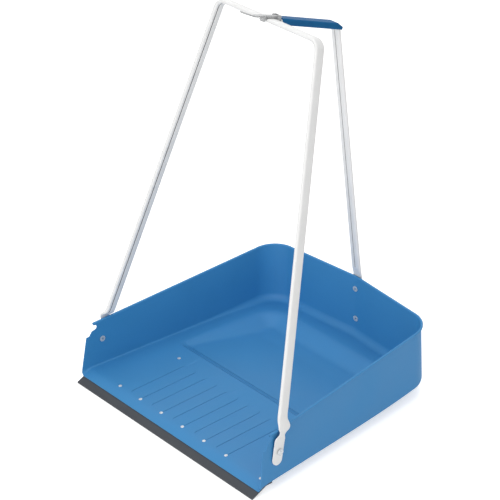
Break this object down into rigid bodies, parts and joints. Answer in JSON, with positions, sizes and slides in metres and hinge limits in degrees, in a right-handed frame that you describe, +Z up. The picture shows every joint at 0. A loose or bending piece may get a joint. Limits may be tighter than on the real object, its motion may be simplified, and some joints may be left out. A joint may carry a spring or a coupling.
{
  "type": "dustpan",
  "caption": "Upright lobby dustpan: pressed steel pan with rubber lip, folding tube bail and rear tube handle with a hook latch",
  "frame": {"origin": "On the ground, midway between the sides, and midway between the rubber blade's edge and the rearmost rivet head", "axes": "+Z up, +X to the right of a person who stands behind the handle, +Y to the back; the open front faces -Y"},
  "size_m": [0.4232, 0.4174, 0.6497],
  "materials": {
    "pan_paint": "semi-gloss blue paint",
    "blade_rubber": "matt dark grey",
    "tube_coat": "satin white coat",
    "plated_steel": "zinc plate",
    "grip_plastic": "smooth dark blue"
  },
  "bodies": {
    "base": {"pan": "pan_paint", "lip_rubber": "blade_rubber", "lip_clamp_strip": "plated_steel", "lip_rivets": "plated_steel", "floor_stiffener": "plated_steel", "stiffener_rivets": "plated_steel", "pivot_spacers": "plated_steel", "pivot_rivets": "plated_steel", "handle_tube": "tube_coat", "handle_rivets": "plated_steel", "hand_grip": "grip_plastic", "latch_bracket": "plated_steel", "bracket_rivet": "plated_steel", "latch_pin": "plated_steel"},
    "bail": {"bail": "tube_coat"},
    "hook": {"latch_lever": "plated_steel"}
  },
  "joints": [
    {"name": "bail_fold", "type": "hinge", "parent": "base", "child": "bail", "pos_m": [0, -0.15729, 0.06328], "axis": [1, 0, 0], "range_deg": [0, 110]},
    {"name": "hook_lift", "type": "hinge", "parent": "base", "child": "hook", "pos_m": [0, 0.02309, 0.62295], "axis": [-1, 0, 0], "range_deg": [0, 30]}
  ]
}
